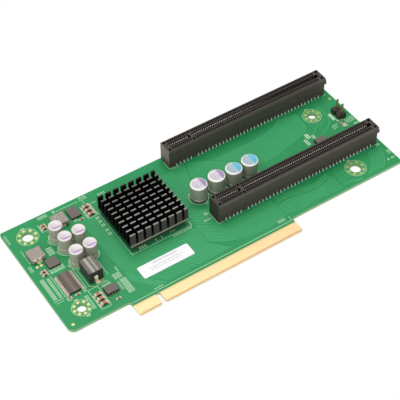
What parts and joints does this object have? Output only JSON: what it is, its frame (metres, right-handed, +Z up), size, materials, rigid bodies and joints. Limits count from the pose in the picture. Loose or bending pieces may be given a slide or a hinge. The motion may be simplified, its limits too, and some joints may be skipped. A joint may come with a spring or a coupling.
{
  "type": "pcie riser card",
  "caption": "Flat riser card with a gold edge tab, upright expansion slots, a finned heat sink over its switch chip, upright capacitors and a pin header.",
  "frame": {"origin": "under the centre of the board's outline, on the plane that the lead and peg tips rest on", "axes": "+X along the card towards the header end, +Y from the gold edge towards the rear slot, +Z up out of the component side"},
  "size_m": [0.1762, 0.0728, 0.0134],
  "materials": {
    "solder_masked_board": "semi-gloss green solder mask over glass-epoxy laminate",
    "black_moulding": "moulded glass-filled plastic",
    "gold_contact": "gold-plated copper alloy",
    "black_anodised_aluminium": "black anodised extrusion",
    "thermal_rubber": "grey silicone pad",
    "chip_substrate": "laminate substrate",
    "capacitor_aluminium": "bare drawn aluminium",
    "black_rubber": "moulded rubber",
    "pressed_powder": "pressed iron powder, speckled",
    "ferrite": "sintered ferrite",
    "brown_ceramic": "fired ceramic",
    "resistor_ceramic": "black glaze on alumina",
    "label_paper": "white coated label",
    "clear_resin": "clear resin",
    "lamp_resin": "white moulded base",
    "black_epoxy": "moulded epoxy",
    "tinned_metal": "tin-plated copper"
  },
  "bodies": {
    "root": {"buffer_leads": "tinned_metal", "buffer_package": "black_epoxy", "ceramic_capacitor_bodies": "brown_ceramic", "ceramic_capacitor_end_caps": "tinned_metal", "chip_resistor_bodies": "resistor_ceramic", "chip_resistor_end_caps": "tinned_metal", "circuit_board": "solder_masked_board", "clock_chip_leads": "tinned_metal", "clock_chip_package": "black_epoxy", "ferrite_inductor_core": "ferrite", "ferrite_inductor_terminals": "tinned_metal", "front_slot_contacts": "gold_contact", "front_slot_housing": "black_moulding", "gate_driver_package": "black_epoxy", "header_body": "black_moulding", "header_pins": "gold_contact", "heat_sink": "black_anodised_aluminium", "lamp_base": "lamp_resin", "lamp_lens": "clear_resin", "large_capacitor_base_1": "black_rubber", "large_capacitor_base_2": "black_rubber", "large_capacitor_base_3": "black_rubber", "large_capacitor_base_4": "black_rubber", "large_capacitor_can_1": "capacitor_aluminium", "large_capacitor_can_2": "capacitor_aluminium", "large_capacitor_can_3": "capacitor_aluminium", "large_capacitor_can_4": "capacitor_aluminium", "large_capacitor_leads_1": "tinned_metal", "large_capacitor_leads_2": "tinned_metal", "large_capacitor_leads_3": "tinned_metal", "large_capacitor_leads_4": "tinned_metal", "paper_label": "label_paper", "powder_inductor_core_1": "pressed_powder", "powder_inductor_core_2": "pressed_powder", "powder_inductor_foils_1": "tinned_metal", "powder_inductor_foils_2": "tinned_metal", "rear_slot_contacts": "gold_contact", "rear_slot_housing": "black_moulding", "regulator_package": "black_epoxy", "serial_memory_leads": "tinned_metal", "serial_memory_package": "black_epoxy", "small_capacitor_base_1": "black_rubber", "small_capacitor_base_2": "black_rubber", "small_capacitor_base_3": "black_rubber", "small_capacitor_base_4": "black_rubber", "small_capacitor_base_5": "black_rubber", "small_capacitor_can_1": "capacitor_aluminium", "small_capacitor_can_2": "capacitor_aluminium", "small_capacitor_can_3": "capacitor_aluminium", "small_capacitor_can_4": "capacitor_aluminium", "small_capacitor_can_5": "capacitor_aluminium", "small_capacitor_leads_1": "tinned_metal", "small_capacitor_leads_2": "tinned_metal", "small_capacitor_leads_3": "tinned_metal", "small_capacitor_leads_4": "tinned_metal", "small_capacitor_leads_5": "tinned_metal", "switch_chip_cap": "black_epoxy", "switch_chip_substrate": "chip_substrate", "thermal_pad": "thermal_rubber"}
  },
  "joints": []
}
